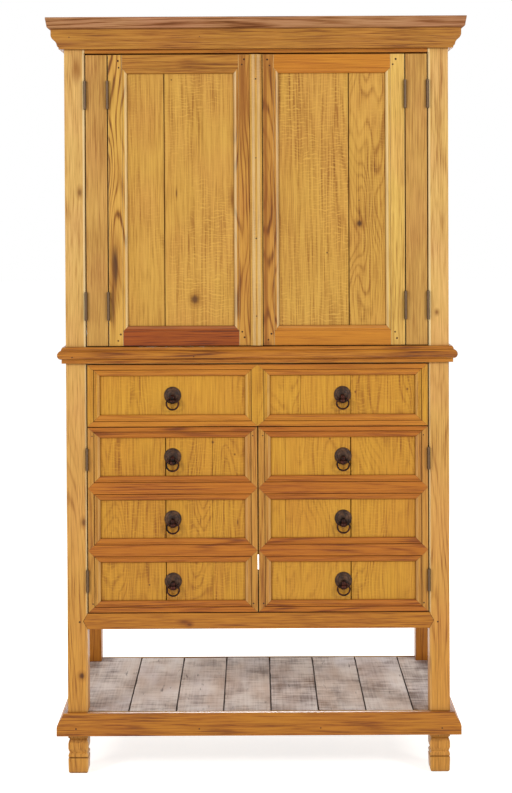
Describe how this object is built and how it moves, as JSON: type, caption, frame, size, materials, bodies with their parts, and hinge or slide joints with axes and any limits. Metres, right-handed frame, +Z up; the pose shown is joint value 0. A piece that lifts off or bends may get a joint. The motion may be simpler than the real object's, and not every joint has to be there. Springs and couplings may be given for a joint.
{
  "type": "tv cabinet",
  "caption": "Tall rustic wooden television cabinet with double-hinged fold-back upper doors, a wide drawer, drawer-faced lower doors with ring pulls, and an open plank shelf on carved feet.",
  "frame": {"origin": "on the floor, under the middle of the cabinet's outline", "axes": "+X to the viewer's right, +Y from the front to the back, +Z up"},
  "size_m": [1.12, 0.611, 2.03],
  "materials": {
    "golden_wood": "waxed, worn",
    "russet_wood": "stained and waxed",
    "inner_wood": "bare, planed",
    "weathered_wood": "grey, rough-sawn",
    "hinge_steel": "aged",
    "dark_iron": "oiled, dark brown"
  },
  "bodies": {
    "carcase": {"front_left_post": "golden_wood", "front_right_post": "golden_wood", "back_left_post": "golden_wood", "back_right_post": "golden_wood", "front_top_rail": "russet_wood", "front_waist_rail": "russet_wood", "front_bottom_rail": "russet_wood", "divider_rail": "inner_wood", "left_side_rails": "golden_wood", "right_side_rails": "golden_wood", "left_side_boards": "golden_wood", "right_side_boards": "golden_wood", "back_rails": "inner_wood", "back_boards": "inner_wood", "base_rails": "inner_wood", "base_moulding": "russet_wood", "base_planks": "weathered_wood", "plank_bearers": "inner_wood", "waist_moulding": "russet_wood", "cornice_moulding": "russet_wood", "cornice_cap": "russet_wood", "tv_deck": "inner_wood", "compartment_floor": "inner_wood", "compartment_shelf": "inner_wood", "shelf_cleats": "inner_wood", "drawer_runners": "inner_wood", "post_hinges": "hinge_steel"},
    "left_strip": {"left_strip": "golden_wood", "left_strip_hinges": "hinge_steel"},
    "left_door": {"left_door_frame": "golden_wood", "left_door_panel": "golden_wood", "left_door_astragal": "golden_wood", "left_door_hinge_leaves": "hinge_steel"},
    "right_strip": {"right_strip": "golden_wood", "right_strip_hinges": "hinge_steel"},
    "right_door": {"right_door_frame": "golden_wood", "right_door_panel": "golden_wood", "right_door_hinge_leaves": "hinge_steel"},
    "drawer": {"drawer_front_boards": "golden_wood", "drawer_front_mouldings": "russet_wood", "drawer_box": "inner_wood", "drawer_bottom": "inner_wood", "drawer_pull_plates": "dark_iron"},
    "lower_left_door": {"lower_left_door_boards": "golden_wood", "lower_left_door_mouldings": "russet_wood", "lower_left_door_hinge_leaves": "hinge_steel", "lower_left_pull_plates": "dark_iron"},
    "lower_right_door": {"lower_right_door_boards": "golden_wood", "lower_right_door_mouldings": "russet_wood", "lower_right_door_hinge_leaves": "hinge_steel", "lower_right_pull_plates": "dark_iron"},
    "drawer_ring_left": {"drawer_ring_left": "dark_iron"},
    "drawer_ring_right": {"drawer_ring_right": "dark_iron"},
    "lower_left_ring_bottom": {"lower_left_ring_bottom": "dark_iron"},
    "lower_left_ring_middle": {"lower_left_ring_middle": "dark_iron"},
    "lower_left_ring_top": {"lower_left_ring_top": "dark_iron"},
    "lower_right_ring_bottom": {"lower_right_ring_bottom": "dark_iron"},
    "lower_right_ring_middle": {"lower_right_ring_middle": "dark_iron"},
    "lower_right_ring_top": {"lower_right_ring_top": "dark_iron"}
  },
  "joints": [
    {"name": "left_strip_hinge", "type": "hinge", "parent": "carcase", "child": "left_strip", "pos_m": [-0.4585, -0.2645, 1.543], "axis": [0, 0, -1], "range_deg": [0, 180]},
    {"name": "left_door_hinge", "type": "hinge", "parent": "left_strip", "child": "left_door", "pos_m": [-0.3985, -0.2645, 1.543], "axis": [0, 0, -1], "range_deg": [0, 90]},
    {"name": "right_strip_hinge", "type": "hinge", "parent": "carcase", "child": "right_strip", "pos_m": [0.4585, -0.2645, 1.543], "axis": [0, 0, 1], "range_deg": [0, 180]},
    {"name": "right_door_hinge", "type": "hinge", "parent": "right_strip", "child": "right_door", "pos_m": [0.3985, -0.2645, 1.543], "axis": [0, 0, 1], "range_deg": [0, 90]},
    {"name": "drawer_slide", "type": "slide", "parent": "carcase", "child": "drawer", "axis": [0, -1, 0], "range_m": [0, 0.4]},
    {"name": "lower_left_door_hinge", "type": "hinge", "parent": "carcase", "child": "lower_left_door", "pos_m": [-0.4585, -0.2645, 0.6845], "axis": [0, 0, -1], "range_deg": [0, 175]},
    {"name": "lower_right_door_hinge", "type": "hinge", "parent": "carcase", "child": "lower_right_door", "pos_m": [0.4585, -0.2645, 0.6845], "axis": [0, 0, 1], "range_deg": [0, 175]},
    {"name": "drawer_ring_left_swing", "type": "hinge", "parent": "drawer", "child": "drawer_ring_left", "pos_m": [-0.2285, -0.2625, 1.014], "axis": [-1, 0, 0], "range_deg": [0, 170]},
    {"name": "drawer_ring_right_swing", "type": "hinge", "parent": "drawer", "child": "drawer_ring_right", "pos_m": [0.2285, -0.2625, 1.014], "axis": [-1, 0, 0], "range_deg": [0, 170]},
    {"name": "lower_left_ring_bottom_swing", "type": "hinge", "parent": "lower_left_door", "child": "lower_left_ring_bottom", "pos_m": [-0.22925, -0.2625, 0.5125], "axis": [-1, 0, 0], "range_deg": [0, 170]},
    {"name": "lower_left_ring_middle_swing", "type": "hinge", "parent": "lower_left_door", "child": "lower_left_ring_middle", "pos_m": [-0.22925, -0.2625, 0.6805], "axis": [-1, 0, 0], "range_deg": [0, 170]},
    {"name": "lower_left_ring_top_swing", "type": "hinge", "parent": "lower_left_door", "child": "lower_left_ring_top", "pos_m": [-0.22925, -0.2625, 0.8485], "axis": [-1, 0, 0], "range_deg": [0, 170]},
    {"name": "lower_right_ring_bottom_swing", "type": "hinge", "parent": "lower_right_door", "child": "lower_right_ring_bottom", "pos_m": [0.22925, -0.2625, 0.5125], "axis": [-1, 0, 0], "range_deg": [0, 170]},
    {"name": "lower_right_ring_middle_swing", "type": "hinge", "parent": "lower_right_door", "child": "lower_right_ring_middle", "pos_m": [0.22925, -0.2625, 0.6805], "axis": [-1, 0, 0], "range_deg": [0, 170]},
    {"name": "lower_right_ring_top_swing", "type": "hinge", "parent": "lower_right_door", "child": "lower_right_ring_top", "pos_m": [0.22925, -0.2625, 0.8485], "axis": [-1, 0, 0], "range_deg": [0, 170]}
  ]
}
